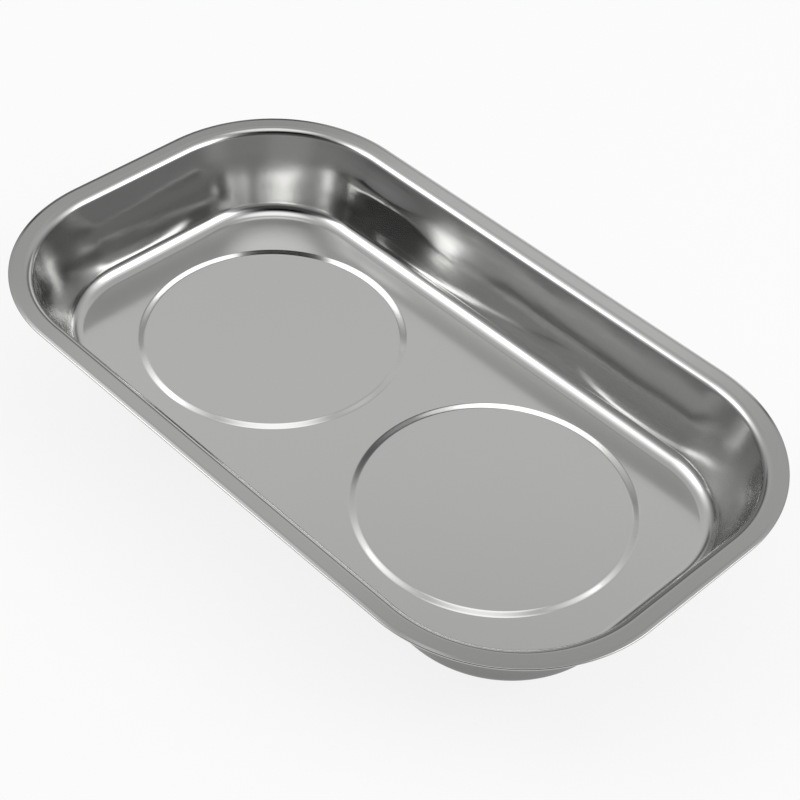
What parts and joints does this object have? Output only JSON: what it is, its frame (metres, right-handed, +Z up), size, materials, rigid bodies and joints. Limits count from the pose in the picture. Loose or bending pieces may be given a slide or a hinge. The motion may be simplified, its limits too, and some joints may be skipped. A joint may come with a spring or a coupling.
{
  "type": "magnetic parts tray",
  "caption": "Rectangular stainless parts tray with large round corners, a flat rim and round raised pads over magnet bases that hold steel parts and cling to a steel surface.",
  "frame": {"origin": "on the resting plane, under the middle of the dish", "axes": "+X along the length, +Y across the width, +Z up out of the dish"},
  "size_m": [0.2414, 0.1396, 0.0403],
  "materials": {
    "stainless": "bright drawn sheet",
    "plated_steel": "bright zinc plate",
    "spring_steel": "oiled",
    "stud_steel": "copper flash",
    "ferrite": "ground ceramic",
    "spacer_plastic": "moulded",
    "boot_rubber": "matt moulded"
  },
  "bodies": {
    "root": {"dish": "stainless", "left_weld_stud": "stud_steel", "left_ring_magnet": "ferrite", "left_spacer_ring": "spacer_plastic", "left_magnet_cup": "plated_steel", "left_rubber_boot": "boot_rubber", "left_flat_washer": "plated_steel", "left_lock_washer": "spring_steel", "left_hex_nut": "plated_steel", "right_weld_stud": "stud_steel", "right_ring_magnet": "ferrite", "right_spacer_ring": "spacer_plastic", "right_magnet_cup": "plated_steel", "right_rubber_boot": "boot_rubber", "right_flat_washer": "plated_steel", "right_lock_washer": "spring_steel", "right_hex_nut": "plated_steel"}
  },
  "joints": []
}
